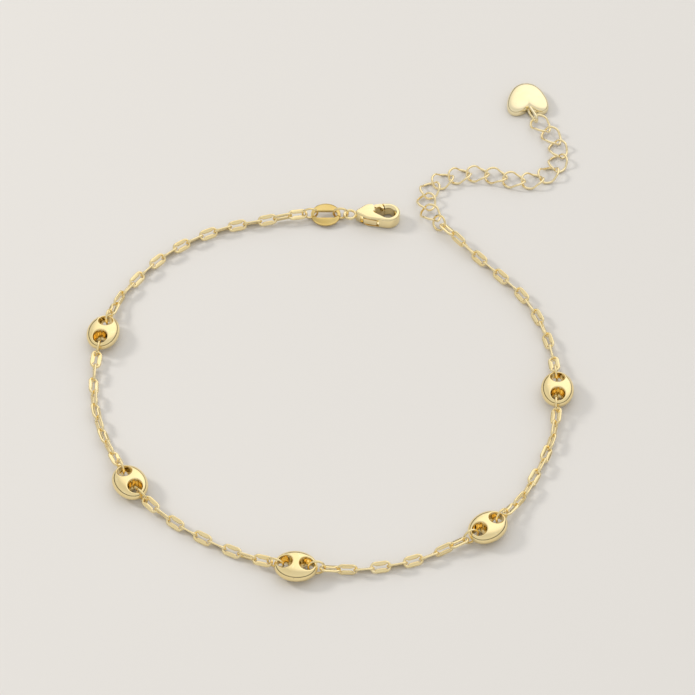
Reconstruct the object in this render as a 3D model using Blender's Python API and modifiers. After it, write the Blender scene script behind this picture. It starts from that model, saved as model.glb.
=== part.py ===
"""Chain anklet laid open on a flat surface: clasp, tag, fine chain, five beads, extender and heart.

Metres, +Z up. Every piece sits on one route, in the order in which the real pieces are threaded,
and its place along the route is worked out from the sizes of the pieces before it.
"""
import math

import bmesh
import bpy
import numpy as np
from mathutils import Matrix, Vector

MM = 0.001

# Fine chain: oval links of round wire whose long sides are pressed flat
LINK_LENGTH = 3.65 * MM
LINK_WIDTH = 2.0 * MM
LINK_WIRE = 0.475 * MM
LINK_SIDE_WIDTH = 0.75 * MM
LINK_SIDE_THICKNESS = 0.32 * MM
LINK_SIDE_LENGTH = 1.5 * MM      # length of the pressed part of a side
LINK_BEDDING = 0.1 * MM          # how deep the wires of two neighbours sink into each other
LINK_STEPS = 10                  # stations around a link
WIRE_SIDES = 5                   # sides of a link's wire
LINK_LEANS = (42.0, 120.0)       # degrees from lying level, of the flat links and those between
ROLL_AT_RING = (-22.0, 36.0)     # degrees that the chain rolls where it ends in a flat link, or between
ROLL_LINKS = 3                   # links over which that roll fades out

# Beads: puffed ovals with two round holes and a bar between them
BEAD_LENGTH = 7.3 * MM
BEAD_WIDTH = 5.7 * MM
BEAD_THICKNESS = 3.2 * MM
BEAD_HOLE_RADIUS = 1.25 * MM
BEAD_RIM = 0.55 * MM             # metal left between a hole and the bead's end
BEAD_STEPS = 16

# Jump rings that join the beads, the tag and the extender to the chain
JUMP_RING_DIAMETER = 3.1 * MM
JUMP_RING_WIRE = 0.4 * MM
JUMP_RING_STEPS = 12
JUMP_RING_LEANS = (97.0, 80.0)   # degrees from level, beside a flat link and a link between
JOINING_RING_LEAN = 60.0         # and beside the extender

# Extender: oval curb rings, each twisted so that all lie flat
CURB_LENGTH = 4.5 * MM
CURB_WIDTH = 3.75 * MM
CURB_WIRE = 0.42 * MM
CURB_TWIST = 0.5 * MM            # height of the twist, up at two corners and down at two
CURB_STEEPNESS = 1.4             # the twist reaches its height sooner than a plain wave
CURB_PITCH = 3.4 * MM
CURB_COUNT = 14
CURB_STEPS = 16

# Heart drop: domed front, flat back, with a soldered eyelet in its cleft
HEART_WIDTH = 7.8 * MM
HEART_HEIGHT = 7.6 * MM
HEART_THICKNESS = 1.9 * MM
HEART_STEPS = 26
HEART_HEADING = 93.0             # degrees from +X to the heart's point
HEART_POINT = 1.1                # roundness of the far end: 0 is sharp, 1 is round
HEART_CLEFT = 0.3                # and of the cleft
HEART_WAVES = (13.0, -4.0, -1.5, -0.5)   # shares of one, two, three and four waves in the outline
EYELET_LENGTH = 4.0 * MM
EYELET_HEIGHT = 2.2 * MM
EYELET_WIRE = 0.5 * MM
EYELET_SEAT = 0.25 * MM          # how deep the eyelet is let into the heart's cleft
EYELET_TURN = 22.0               # degrees between the eyelet and the heart's own line

# Oval tag with a long slot
TAG_LENGTH = 5.4 * MM
TAG_WIDTH = 4.6 * MM
TAG_THICKNESS = 0.6 * MM
TAG_END_WALL = 0.6 * MM          # metal left between the slot and the tag's end
TAG_SLOT_WIDTH = 1.3 * MM
TAG_RING_REACH = 0.15 * MM       # from the tag's end to the middle of the ring on it
TAG_STEPS = 24
TAG_LEAN = 12.0                  # degrees, near edge down

# Ring between the tag and the clasp
CLASP_RING_DIAMETER = 3.0 * MM
CLASP_RING_WIRE = 0.45 * MM
CLASP_RING_REACH = 0.7 * MM      # from the ring's middle to the wire of the clasp's eyelet

# Lobster clasp lying on its side
CLASP_LENGTH = 7.8 * MM
CLASP_WIDTH = 4.3 * MM
CLASP_THICKNESS = 2.4 * MM
CLASP_HOOK_WALL = 0.95 * MM
CLASP_EDGE = 0.4 * MM            # rounding of the outer edges
CLASP_SLOT = 1.65 * MM           # gap between the two cheeks
CLASP_TAIL_BLOCK = 0.75 * MM     # solid metal at the tail
CLASP_EYELET_DIAMETER = 2.5 * MM
CLASP_EYELET_WIRE = 0.5 * MM
CLASP_HEADING_OFFSET = -1.5      # degrees that the clasp turns from the route
LEVER_THICKNESS = 1.25 * MM
LEVER_ARM_THICKNESS = 1.8 * MM
PIN_RADIUS = 0.4 * MM
PIN_CLEARANCE = 0.08 * MM
ROUND_STEPS = 20

CLEARANCE = 0.1 * MM             # between pieces that hang in each other
RING_SLACK = 0.15 * MM           # how far a link is from pulling its ring tight

# Places on the clasp, as shares of its length (x) and width (y), from the middle of its tail
CLASP_PIN = (0.29, 0.075)
CLASP_CHEEKS = (0.32, 0.085, 0.43)
CLASP_TAIL = (0.046, 0.0, 0.134)
CLASP_HOOK_RISE = 0.11
CLASP_MOUTH_POINT = (0.46, 0.11, 0.06)
CLASP_GATE = ((0.45, 0.175, 0.047), (0.352, 0.605, 0.08), (0.77, 0.605, 0.08), (0.77, 0.175, 0.047))
CLASP_SLOT_END = 0.54
LEVER_HUB_RADIUS = 0.25
LEVER_ARM = ((0.417, 0.42, 0.077), (0.526, 0.477, 0.077))
LEVER_ARM_ROOT = (0.35, 0.31, 0.093)
LEVER_TAB = ((0.205, -0.23, 0.077), (0.46, -0.295, 0.07), (0.31, -0.07, 0.09))

# Domed plates, one row for each section: share of the outline, share of the thickness
HEART_SECTIONS = (
    (0.94, 0.00),
    (1.00, 0.18),
    (0.99, 0.52),
    (0.90, 0.80),
    (0.60, 1.00),
)
TAG_SECTIONS = (
    (0.95, -0.22),
    (1.00, 0.00),
    (0.95, 0.22),
)

# The route, in millimetres on the surface, from the clasp's front to the heart's cleft
ROUTE = (
    (9.45, 29.65), (1.9, 30.3), (-4.0, 30.5), (-9.4, 30.2), (-14.7, 29.2), (-20.4, 27.9), (-25.5, 25.8),
    (-30.1, 22.9), (-34.2, 19.2), (-37.6, 14.9), (-40.5, 10.2), (-42.8, 2.1), (-43.8, -4.1), (-43.9, -9.5),
    (-43.2, -15.0), (-41.6, -20.5), (-39.3, -25.7), (-36.4, -31.3), (-32.8, -35.5), (-28.6, -39.1),
    (-23.9, -42.2), (-18.9, -44.9), (-13.9, -47.0), (-8.4, -48.4), (0.0, -48.6), (5.5, -48.0),
    (10.7, -46.8), (15.8, -44.6), (23.2, -40.5), (28.7, -34.5), (31.5, -29.4), (33.8, -24.2),
    (35.4, -18.8), (36.2, -11.0), (35.9, -4.6), (35.1, 1.0), (33.3, 6.7), (30.6, 11.8), (27.0, 16.2),
    (23.3, 20.5), (19.6, 24.9), (16.2, 28.7), (14.7, 31.3), (14.3, 34.3), (15.1, 37.2), (17.3, 39.4),
    (20.3, 40.6), (23.6, 41.0), (26.9, 40.5), (30.1, 39.5), (33.4, 39.3), (36.6, 40.8), (38.6, 43.6),
    (38.9, 47.1), (37.8, 50.5), (35.5, 53.9), (33.6, 57.9),
)

# Stretches of fine chain: name, whether the first link lies flat, which way the chain leans
STRETCHES = (
    ("chain_a", True, -1),
    ("chain_b", True, -1),
    ("chain_c", True, 1),
    ("chain_d", False, 1),
    ("chain_e", False, 1),
    ("chain_f", True, -1),
)
LINK_COUNTS = (16, 9, 9, 9, 9, 14)

# How far each stretch is drawn out: from the piece before it, from the piece after it, link to link
DRAWN_OUT = (
    (0.0 * MM, 0.30 * MM, -0.02 * MM),
    (0.36 * MM, 0.36 * MM, 0.04 * MM),
    (0.12 * MM, 0.12 * MM, 0.0 * MM),
    (0.10 * MM, 0.10 * MM, -0.02 * MM),
    (0.05 * MM, 0.05 * MM, -0.05 * MM),
    (0.36 * MM, 0.0 * MM, 0.05 * MM),
)
LIFT_REACH = 12.0 * MM           # a bead lifts the chain this far to either side of its middle
RING_LIFT = 0.6 * MM             # how far an upright ring lifts the chain that hangs in it
SETTLE_REACH = 7.0 * MM          # the extender settles to the surface over this length

# Sizes that follow from those above
LINK_PITCH = LINK_LENGTH - 2 * LINK_WIRE + LINK_BEDDING
LINK_END = LINK_LENGTH / 2 - LINK_WIRE / 2
LINK_UPRIGHT = math.radians(LINK_LEANS[1])
CHAIN_HEIGHT = LINK_WIDTH / 2 * math.sin(LINK_UPRIGHT)
JUMP_RING_RADIUS = JUMP_RING_DIAMETER / 2 - JUMP_RING_WIRE / 2
CLASP_RING_RADIUS = CLASP_RING_DIAMETER / 2 - CLASP_RING_WIRE / 2
CURB_RADIUS = CURB_LENGTH / 2 - CURB_WIRE / 2
CURB_HEIGHT = CURB_TWIST + CURB_WIRE / 2
BEAD_TO_LINK = BEAD_LENGTH / 2 + LINK_LENGTH / 2 + CLEARANCE
RING_REACH = JUMP_RING_DIAMETER / 2 - JUMP_RING_WIRE - RING_SLACK - CLEARANCE
RING_TO_LINK = RING_REACH - LINK_WIRE / 2 + LINK_END
RING_TO_CURB = RING_REACH - CURB_WIRE / 2 + CURB_RADIUS
TAG_HEIGHT = CLASP_RING_WIRE + TAG_THICKNESS
TAG_SLOT_LENGTH = TAG_LENGTH - 2 * TAG_END_WALL


def clear_scene():
    for item in list(bpy.data.objects):
        bpy.data.objects.remove(item, do_unlink=True)


def new_collection(name):
    group = bpy.data.collections.new(name)
    bpy.context.scene.collection.children.link(group)
    return group


def polished(name, colour, roughness):
    """A plated metal finish for one sub-part."""
    finish = bpy.data.materials.new(name)
    finish.use_nodes = True
    shader = finish.node_tree.nodes["Principled BSDF"]
    shader.inputs["Base Color"].default_value = (*colour, 1.0)
    shader.inputs["Metallic"].default_value = 1.0
    shader.inputs["Roughness"].default_value = roughness
    return finish


def add_object(name, mesh, finish, place=None, group=None):
    """Put a mesh in the model as one named piece."""
    piece = bpy.data.objects.new(name, mesh)
    (group or PARTS).objects.link(piece)
    if place is not None:
        piece.matrix_world = place
    if not mesh.materials:
        mesh.materials.append(finish)
    mesh.shade_smooth()
    mesh.set_sharp_from_angle(angle=math.radians(40))
    piece.parent = ANKLET
    return piece


def add_cutter(name, mesh, place=None):
    """A helper solid that only cuts or joins another."""
    cutter = bpy.data.objects.new(name, mesh)
    CUTTERS.objects.link(cutter)
    if place is not None:
        cutter.matrix_world = place
    cutter.hide_render = True
    cutter.display_type = "WIRE"
    cutter.parent = ANKLET
    return cutter


def combine(piece, cutter, operation):
    step = piece.modifiers.new(operation.lower() + "_" + cutter.name, "BOOLEAN")
    step.operation = operation
    step.solver = "EXACT"
    step.object = cutter
    return step


def baked(piece):
    """The piece's mesh with its modifiers applied; the piece and its cutters are removed."""
    bpy.context.view_layer.update()
    graph = bpy.context.evaluated_depsgraph_get()
    mesh = bpy.data.meshes.new_from_object(piece.evaluated_get(graph))
    cutters = [step.object for step in piece.modifiers if step.type == "BOOLEAN"]
    for item in cutters + [piece]:
        bpy.data.objects.remove(item, do_unlink=True)
    return mesh


class Route:
    """A smooth curve through the chosen points, read by the distance along it."""

    def __init__(self, points, per_span=24):
        self.lifts = []
        self.settles = []
        given = np.array(points, dtype=float) * MM
        first = 2 * given[0] - given[1]
        last = 2 * given[-1] - given[-2]
        full = np.vstack([first, given, last])
        dense = []
        for i in range(1, len(full) - 2):
            before, start, end, after = full[i - 1:i + 3]
            for step in range(per_span):
                t = step / per_span
                dense.append(0.5 * (
                    2 * start + (end - before) * t
                    + (2 * before - 5 * start + 4 * end - after) * t ** 2
                    + (3 * start - before - 3 * end + after) * t ** 3
                ))
        dense.append(full[-2])
        self.points = np.array(dense)
        steps = np.linalg.norm(np.diff(self.points, axis=0), axis=1)
        self.along = np.concatenate([[0.0], np.cumsum(steps)])

    def flat(self, s):
        """Place on the surface at distance s; past either end the route runs on straight."""
        if s < 0:
            heading = self.points[0] - self.points[1]
            return self.points[0] + heading / np.linalg.norm(heading) * -s
        if s > self.along[-1]:
            heading = self.points[-1] - self.points[-2]
            return self.points[-1] + heading / np.linalg.norm(heading) * (s - self.along[-1])
        return np.array([np.interp(s, self.along, self.points[:, axis]) for axis in (0, 1)])

    def at(self, s):
        x, y = self.flat(s)
        return Vector((x, y, self.height(s)))

    def height(self, s):
        """Chain height, raised at each bead and lowered along the extender."""
        level = CHAIN_HEIGHT
        for centre, rise in self.lifts:
            share = min(abs(s - centre) / LIFT_REACH, 1.0)
            level += rise * 0.5 * (1 + math.cos(math.pi * share))
        for start, change in self.settles:
            share = min(max((s - start) / SETTLE_REACH, 0.0), 1.0)
            level += change * share * share * (3 - 2 * share)
        return level

    def frame(self, s, lean=0.0, reach=0.5 * MM, level=False):
        """Frame at s: X along the route, Y to its left, tipped up by lean degrees about X."""
        ahead = self.at(s + reach) - self.at(s - reach)
        if level:
            ahead.z = 0.0
        ahead.normalize()
        left = Vector((-ahead.y, ahead.x, 0.0)).normalized()
        up = ahead.cross(left)
        turn = Matrix((ahead, left, up)).transposed().to_4x4()
        return Matrix.Translation(self.at(s)) @ turn @ Matrix.Rotation(math.radians(lean), 4, "X")


def torus_mesh(name, radius, wire, steps, sides):
    bpy.ops.mesh.primitive_torus_add(
        major_radius=radius, minor_radius=wire / 2, major_segments=steps, minor_segments=sides,
    )
    piece = bpy.context.object
    mesh = piece.data
    mesh.name = name
    bpy.data.objects.remove(piece, do_unlink=True)
    return mesh


def link_mesh():
    """One link: a torus drawn out into an oval, with its long sides pressed wide and thin."""
    end_radius = LINK_WIDTH / 2 - LINK_WIRE / 2
    side_offset = LINK_WIDTH / 2 - LINK_SIDE_WIDTH / 2
    mesh = torus_mesh("chain_link", end_radius, LINK_WIRE, LINK_STEPS, WIRE_SIDES)
    straight = (LINK_LENGTH - LINK_WIDTH) / 2
    for vertex in mesh.vertices:
        turn = math.atan2(vertex.co.y, vertex.co.x)
        out = end_radius - math.hypot(vertex.co.x, vertex.co.y)
        vertex.co.z = -vertex.co.z
        along, across = math.cos(turn), math.sin(turn)
        if abs(across) > 0.9:
            out *= LINK_SIDE_WIDTH / LINK_WIRE
            vertex.co.x = math.copysign(LINK_SIDE_LENGTH / 2, along)
            vertex.co.y = math.copysign(side_offset + out, across)
            vertex.co.z *= LINK_SIDE_THICKNESS / LINK_WIRE
        else:
            vertex.co.x = (end_radius + out) * along + math.copysign(straight, along)
            vertex.co.y = (end_radius + out) * across
    return mesh


def curb_mesh():
    """One extender ring: a slightly oval torus, twisted up at two corners and down at two."""
    mesh = torus_mesh("extender_ring", CURB_RADIUS, CURB_WIRE, CURB_STEPS, WIRE_SIDES)
    across_radius = CURB_WIDTH / 2 - CURB_WIRE / 2
    for vertex in mesh.vertices:
        turn = math.atan2(vertex.co.y, vertex.co.x)
        out = math.hypot(vertex.co.x, vertex.co.y) - CURB_RADIUS
        vertex.co.x = (CURB_RADIUS + out) * math.cos(turn)
        vertex.co.y = (across_radius + out) * math.sin(turn)
        vertex.co.z -= CURB_TWIST * max(-1.0, min(1.0, CURB_STEEPNESS * math.sin(2 * turn)))
    return mesh


def rod_mesh(name, circles, height, steps=ROUND_STEPS):
    """A plate whose outline wraps the given circles (x, y, radius), centred on z = 0."""
    shape = bmesh.new()
    for x, y, radius in circles:
        bmesh.ops.create_cone(
            shape, cap_ends=True, segments=steps, radius1=radius, radius2=radius, depth=height,
            matrix=Matrix.Translation((x, y, 0.0)),
        )
    if len(circles) > 1:
        hull = bmesh.ops.convex_hull(shape, input=shape.verts)
        loose = [item for item in hull["geom_interior"] + hull["geom_unused"]
                 if isinstance(item, bmesh.types.BMVert)]
        bmesh.ops.delete(shape, geom=loose, context="VERTS")
        bmesh.ops.dissolve_limit(shape, angle_limit=math.radians(1), verts=shape.verts, edges=shape.edges)
    mesh = bpy.data.meshes.new(name)
    shape.to_mesh(mesh)
    shape.free()
    return mesh


def domed_plate(name, outline, sections, thickness):
    """Loft of one outline, drawn in and raised by each section row, closed at both ends."""
    shape = bmesh.new()
    loops = []
    for share, level in sections:
        ring = [shape.verts.new((x * share, y * share, level * thickness)) for x, y in outline]
        loops.append(ring)
    count = len(outline)
    for lower, upper in zip(loops, loops[1:]):
        for i in range(count):
            j = (i + 1) % count
            shape.faces.new((lower[i], lower[j], upper[j], upper[i]))
    shape.faces.new(reversed(loops[0]))
    shape.faces.new(loops[-1])
    mesh = bpy.data.meshes.new(name)
    shape.to_mesh(mesh)
    shape.free()
    return mesh


def heart_outline():
    """Heart with its point towards +Y and its cleft towards -Y, around its own middle."""
    points = []
    for i in range(HEART_STEPS):
        t = 2 * math.pi * (i + 0.5) / HEART_STEPS
        round_off = (HEART_POINT + HEART_CLEFT) / 2 - (HEART_POINT - HEART_CLEFT) / 2 * math.cos(t)
        x = math.sin(t) * (round_off + (1 - round_off) * math.sin(t) ** 2)
        y = sum(share * math.cos((n + 1) * t) for n, share in enumerate(HEART_WAVES))
        points.append((x, -y))
    xs, ys = zip(*points)
    wide, tall = max(xs) - min(xs), max(ys) - min(ys)
    middle = (max(ys) + min(ys)) / 2
    return [(x / wide * HEART_WIDTH, (y - middle) / tall * HEART_HEIGHT) for x, y in points]


def bead_mesh():
    """A puffed oval: a ball drawn out and flattened, with two holes through it."""
    bpy.ops.mesh.primitive_uv_sphere_add(segments=BEAD_STEPS, ring_count=BEAD_STEPS // 2, radius=0.5)
    ball = bpy.context.object
    ball.data.transform(Matrix.Diagonal((BEAD_LENGTH, BEAD_WIDTH, BEAD_THICKNESS, 1.0)))
    offset = BEAD_LENGTH / 2 - BEAD_RIM - BEAD_HOLE_RADIUS
    for side in (-1, 1):
        hole = rod_mesh("bead_hole", [(side * offset, 0.0, BEAD_HOLE_RADIUS)], BEAD_THICKNESS * 2, 14)
        combine(ball, add_cutter("bead_hole_cutter", hole), "DIFFERENCE")
    mesh = baked(ball)
    mesh.name = "bead"
    return mesh


def heart_mesh():
    """Heart plate joined to the upright eyelet that stands in its cleft; also the eyelet's place."""
    outline = heart_outline()
    plate = bpy.data.objects.new("heart", domed_plate("heart", outline, HEART_SECTIONS, HEART_THICKNESS))
    PARTS.objects.link(plate)
    cleft = max(y for x, y in outline if abs(x) < HEART_WIDTH * 0.08 and y < 0)
    turn = math.radians(EYELET_TURN)
    away = EYELET_LENGTH / 2 - EYELET_SEAT
    middle = Vector((away * math.sin(turn), cleft - away * math.cos(turn), EYELET_HEIGHT / 2))
    radius = EYELET_HEIGHT / 2 - EYELET_WIRE / 2
    ring = torus_mesh("heart_eyelet", radius, EYELET_WIRE, 12, 8)
    for vertex in ring.vertices:
        vertex.co.x += math.copysign((EYELET_LENGTH - EYELET_HEIGHT) / 2, vertex.co.x)
    upright = Matrix.Rotation(math.radians(90) + turn, 4, "Z") @ Matrix.Rotation(math.radians(90), 4, "X")
    combine(plate, add_cutter("heart_eyelet", ring, Matrix.Translation(middle) @ upright), "UNION")
    mesh = baked(plate)
    mesh.name = "heart_drop"
    return mesh, middle


def tag_mesh():
    """Oval plate, thickest along its slot and thin at its edge."""
    outline = []
    for i in range(TAG_STEPS):
        t = 2 * math.pi * i / TAG_STEPS
        outline.append((TAG_LENGTH / 2 * math.cos(t), TAG_WIDTH / 2 * math.sin(t)))
    ridge = ((0.62, -0.5),) + TAG_SECTIONS + ((0.62, 0.5),)
    plate = bpy.data.objects.new("tag", domed_plate("tag", outline, ridge, TAG_THICKNESS))
    PARTS.objects.link(plate)
    radius = TAG_SLOT_WIDTH / 2
    reach = TAG_SLOT_LENGTH / 2 - radius
    slot = rod_mesh("tag_slot", [(-reach, 0.0, radius), (reach, 0.0, radius)], TAG_THICKNESS * 3, 12)
    combine(plate, add_cutter("tag_slot_cutter", slot), "DIFFERENCE")
    mesh = baked(plate)
    mesh.name = "tag"
    return mesh


def clasp_circle(x, y, radius):
    """A circle on the clasp from its shares of the clasp's length and width."""
    return x * CLASP_LENGTH, y * CLASP_WIDTH, radius * CLASP_WIDTH


def clasp_box(name, low, high):
    mesh = bpy.data.meshes.new(name)
    shape = bmesh.new()
    size = [b - a for a, b in zip(low, high)]
    middle = [(a + b) / 2 for a, b in zip(low, high)]
    place = Matrix.Translation(middle) @ Matrix.Diagonal((*size, 1.0))
    bmesh.ops.create_cube(shape, size=1.0, matrix=place)
    shape.to_mesh(mesh)
    shape.free()
    return mesh


def clasp_body_mesh():
    """Two cheeks and a hook in one casting, with the tail's eyelet and the lever's pin."""
    hook_x = CLASP_LENGTH - CLASP_WIDTH / 2
    hook_y = CLASP_HOOK_RISE * CLASP_WIDTH
    outline = [clasp_circle(*CLASP_TAIL), clasp_circle(*CLASP_CHEEKS), (hook_x, hook_y, CLASP_WIDTH / 2)]
    body = bpy.data.objects.new("clasp_body", rod_mesh("clasp_body", outline, CLASP_THICKNESS))
    PARTS.objects.link(body)
    edge = body.modifiers.new("rounded_edges", "BEVEL")
    edge.width = CLASP_EDGE
    edge.segments = 2
    edge.limit_method = "ANGLE"
    edge.angle_limit = math.radians(60)

    through = CLASP_THICKNESS * 2
    mouth = [(hook_x, hook_y, CLASP_WIDTH / 2 - CLASP_HOOK_WALL), clasp_circle(*CLASP_MOUTH_POINT)]
    combine(body, add_cutter("clasp_mouth", rod_mesh("clasp_mouth", mouth, through)), "DIFFERENCE")

    pin_x, pin_y = CLASP_PIN[0] * CLASP_LENGTH, CLASP_PIN[1] * CLASP_WIDTH
    gate = bpy.data.objects.new(
        "gate", rod_mesh("gate", [(pin_x, pin_y, lever_reach() + CLEARANCE)], through, 32))
    PARTS.objects.link(gate)
    beyond = rod_mesh("gate_side", [clasp_circle(*row) for row in CLASP_GATE], through * 2, 12)
    combine(gate, add_cutter("gate_side", beyond), "INTERSECT")
    combine(body, add_cutter("clasp_gate", baked(gate)), "DIFFERENCE")

    slot = clasp_box(
        "clasp_slot", (CLASP_TAIL_BLOCK, -CLASP_WIDTH, -CLASP_SLOT / 2),
        (CLASP_SLOT_END * CLASP_LENGTH, CLASP_WIDTH, CLASP_SLOT / 2))
    combine(body, add_cutter("clasp_slot", slot), "DIFFERENCE")

    tail_x = (CLASP_TAIL[0] * CLASP_LENGTH) - CLASP_TAIL[2] * CLASP_WIDTH
    eyelet_x = tail_x - CLASP_EYELET_DIAMETER / 2 + CLASP_EYELET_WIRE / 2
    radius = CLASP_EYELET_DIAMETER / 2 - CLASP_EYELET_WIRE / 2
    eyelet = torus_mesh("clasp_eyelet", radius, CLASP_EYELET_WIRE, 16, 8)
    combine(body, add_cutter("clasp_eyelet", eyelet, Matrix.Translation((eyelet_x, 0, 0))), "UNION")

    pin = rod_mesh("clasp_pin", [(pin_x, pin_y, PIN_RADIUS)], CLASP_THICKNESS - CLASP_EDGE / 2, 16)
    combine(body, add_cutter("clasp_pin", pin), "UNION")
    mesh = baked(body)
    mesh.name = "clasp_body"
    return mesh, eyelet_x, Vector((pin_x, pin_y, 0.0))


def clasp_lever_mesh(pin):
    """Hub on the pin, arm to the hook's tip and thumb tab between the cheeks, about the pin."""
    hub = (pin.x, pin.y, LEVER_HUB_RADIUS * CLASP_WIDTH)
    arm = [clasp_circle(*row) for row in LEVER_ARM]
    root = clasp_circle(*LEVER_ARM_ROOT)
    tab = [clasp_circle(*row) for row in LEVER_TAB]
    lever = bpy.data.objects.new("lever", rod_mesh("lever", [hub], LEVER_THICKNESS, 20))
    PARTS.objects.link(lever)
    joined = (
        ("lever_neck", [root, arm[0]], LEVER_THICKNESS),
        ("lever_tab", tab, LEVER_THICKNESS),
        ("lever_arm", arm, LEVER_ARM_THICKNESS),
    )
    for name, circles, height in joined:
        combine(lever, add_cutter(name, rod_mesh(name, circles, height, 12)), "UNION")
    bore = rod_mesh("lever_bore", [(pin.x, pin.y, PIN_RADIUS + PIN_CLEARANCE)], CLASP_THICKNESS, 14)
    combine(lever, add_cutter("lever_bore", bore), "DIFFERENCE")
    mesh = baked(lever)
    mesh.name = "clasp_lever"
    mesh.transform(Matrix.Translation(-pin))
    return mesh


def lever_reach():
    """Distance from the pin to the end of the lever's arm."""
    x, y, radius = clasp_circle(*LEVER_ARM[1])
    return math.hypot(x - CLASP_PIN[0] * CLASP_LENGTH, y - CLASP_PIN[1] * CLASP_WIDTH) + radius


def place_head(route):
    """Clasp, its ring, the tag and the tag's ring; gives the place of the first link."""
    body, eyelet_x, pin = clasp_body_mesh()
    lever = clasp_lever_mesh(pin)
    clasp_height = CLASP_THICKNESS / 2
    tail = CLASP_LENGTH
    base = route.frame(tail * 0.5, level=True)
    turn = math.atan2(-base[1][0], -base[0][0]) + math.radians(CLASP_HEADING_OFFSET)
    spot = route.flat(tail)
    place = Matrix.Translation((spot[0], spot[1], clasp_height)) @ Matrix.Rotation(turn, 4, "Z")
    add_object("clasp_body", body, polished("clasp_gold", (0.83, 0.62, 0.24), 0.15), place)
    add_object("clasp_lever", lever, polished("lever_gold", (0.83, 0.61, 0.23), 0.16),
               place @ Matrix.Translation(pin))

    ring = tail - eyelet_x + (CLASP_EYELET_DIAMETER - CLASP_EYELET_WIRE) / 2 + CLASP_RING_REACH
    mesh = torus_mesh("clasp_ring", CLASP_RING_RADIUS, CLASP_RING_WIRE, JUMP_RING_STEPS, WIRE_SIDES)
    finish = polished("clasp_ring_gold", (0.84, 0.62, 0.25), 0.16)
    place = route.frame(ring, 90.0, level=True)
    place.translation.z = CLASP_RING_DIAMETER / 2
    add_object("clasp_ring", mesh, finish, place)

    tag = ring + TAG_LENGTH / 2
    place = route.frame(tag, -TAG_LEAN, level=True)
    place.translation.z = TAG_HEIGHT
    add_object("tag", tag_mesh(), polished("tag_gold", (0.80, 0.60, 0.24), 0.2), place)

    ring = tag + TAG_LENGTH / 2 + TAG_RING_REACH
    place = route.frame(ring, STRETCHES[0][2] * JUMP_RING_LEANS[0], level=True)
    place.translation.z = JUMP_RING_DIAMETER / 2
    add_object("tag_ring", RINGS, RING_GOLD, place)
    return ring, ring + RING_TO_LINK


def roll_at(index, count, flat_first):
    """How far the chain is rolled at a link, from the roll that each end of the stretch needs."""
    roll = 0.0
    flat_last = flat_first == (count % 2 == 1)
    for steps, flat in ((index, flat_first), (count - 1 - index, flat_last)):
        fade = 0.5 * (1 + math.cos(math.pi * min(steps / ROLL_LINKS, 1.0)))
        roll += ROLL_AT_RING[0 if flat else 1] * fade
    return roll


def chain_piece(name, route, start, count, pitch, flat_first, side):
    """One stretch of chain as one body: every second link, joined to the links between them."""
    halves = (bmesh.new(), bmesh.new())
    for i in range(count):
        flat = (i % 2 == 0) == flat_first
        lean = side * (LINK_LEANS[0 if flat else 1] + roll_at(i, count, flat_first))
        link = LINKS.copy()
        link.transform(route.frame(start + i * pitch, lean))
        halves[i % 2].from_mesh(link)
        bpy.data.meshes.remove(link)
    meshes = []
    for shape, label in zip(halves, ("", "_between")):
        mesh = bpy.data.meshes.new(name + label)
        shape.to_mesh(mesh)
        shape.free()
        meshes.append(mesh)
    piece = add_object(name, meshes[0], polished(name + "_gold", (0.85, 0.64, 0.26), 0.18))
    combine(piece, add_cutter(name + "_between", meshes[1]), "UNION")


def plan_beads(start):
    """Distances along the route of the stretches' first links, the beads and the last link."""
    firsts, beads = [], []
    s = start
    for i, (count, (before, after, drawn)) in enumerate(zip(LINK_COUNTS, DRAWN_OUT)):
        if i > 0:
            s += BEAD_TO_LINK + before
        firsts.append(s)
        s += (count - 1) * (LINK_PITCH + drawn)
        if i < len(LINK_COUNTS) - 1:
            s += BEAD_TO_LINK + after
            beads.append(s)
    return firsts, beads, s


def place_chain(route, firsts, beads):
    for i, (first, (name, flat_first, side)) in enumerate(zip(firsts, STRETCHES)):
        chain_piece(name, route, first, LINK_COUNTS[i], LINK_PITCH + DRAWN_OUT[i][2], flat_first, side)
    shape = bead_mesh()
    for i, s in enumerate(beads):
        finish = polished(f"bead_{i + 1}_gold", (0.86, 0.65, 0.27), 0.12)
        add_object(f"bead_{i + 1}", shape.copy(), finish, route.frame(s, level=True))
        before, after = STRETCHES[i], STRETCHES[i + 1]
        flat_last = before[1] == (LINK_COUNTS[i] % 2 == 1)
        pull = BEAD_TO_LINK - RING_TO_LINK
        for label, way, flat, side, drawn in (
            ("in", -1, flat_last, before[2], DRAWN_OUT[i][1]),
            ("out", 1, after[1], after[2], DRAWN_OUT[i + 1][0]),
        ):
            lean = side * JUMP_RING_LEANS[0 if flat else 1]
            place = route.frame(s + way * (pull + drawn), lean, level=True)
            place.translation.z = BEAD_THICKNESS / 2
            add_object(f"bead_{i + 1}_ring_{label}", RINGS, RING_GOLD, place)


def place_extender(route, joining, first):
    side = STRETCHES[-1][2]
    place = route.frame(joining, side * JOINING_RING_LEAN, level=True)
    upright = math.sin(math.radians(JOINING_RING_LEAN))
    place.translation.z = JUMP_RING_RADIUS * upright + JUMP_RING_WIRE / 2
    add_object("extender_joining_ring", RINGS, RING_GOLD, place)
    shape = curb_mesh()
    finish = polished("extender_gold", (0.85, 0.63, 0.25), 0.16)
    shape.materials.append(finish)
    for i in range(CURB_COUNT):
        add_object(f"extender_ring_{i + 1:02d}", shape, finish, route.frame(first + i * CURB_PITCH))


def place_heart(route, last):
    """The heart's eyelet takes the last ring's end; the heart keeps its own heading."""
    mesh, middle = heart_mesh()
    eyelet = last + CURB_RADIUS + (EYELET_LENGTH - EYELET_HEIGHT) / 2
    x, y = route.flat(eyelet)
    turn = Matrix.Rotation(math.radians(HEART_HEADING - 90), 4, "Z")
    offset = turn @ middle
    place = Matrix.Translation((x - offset.x, y - offset.y, 0.0)) @ turn
    add_object("heart_drop", mesh, polished("heart_gold", (0.88, 0.68, 0.30), 0.12), place)


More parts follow.
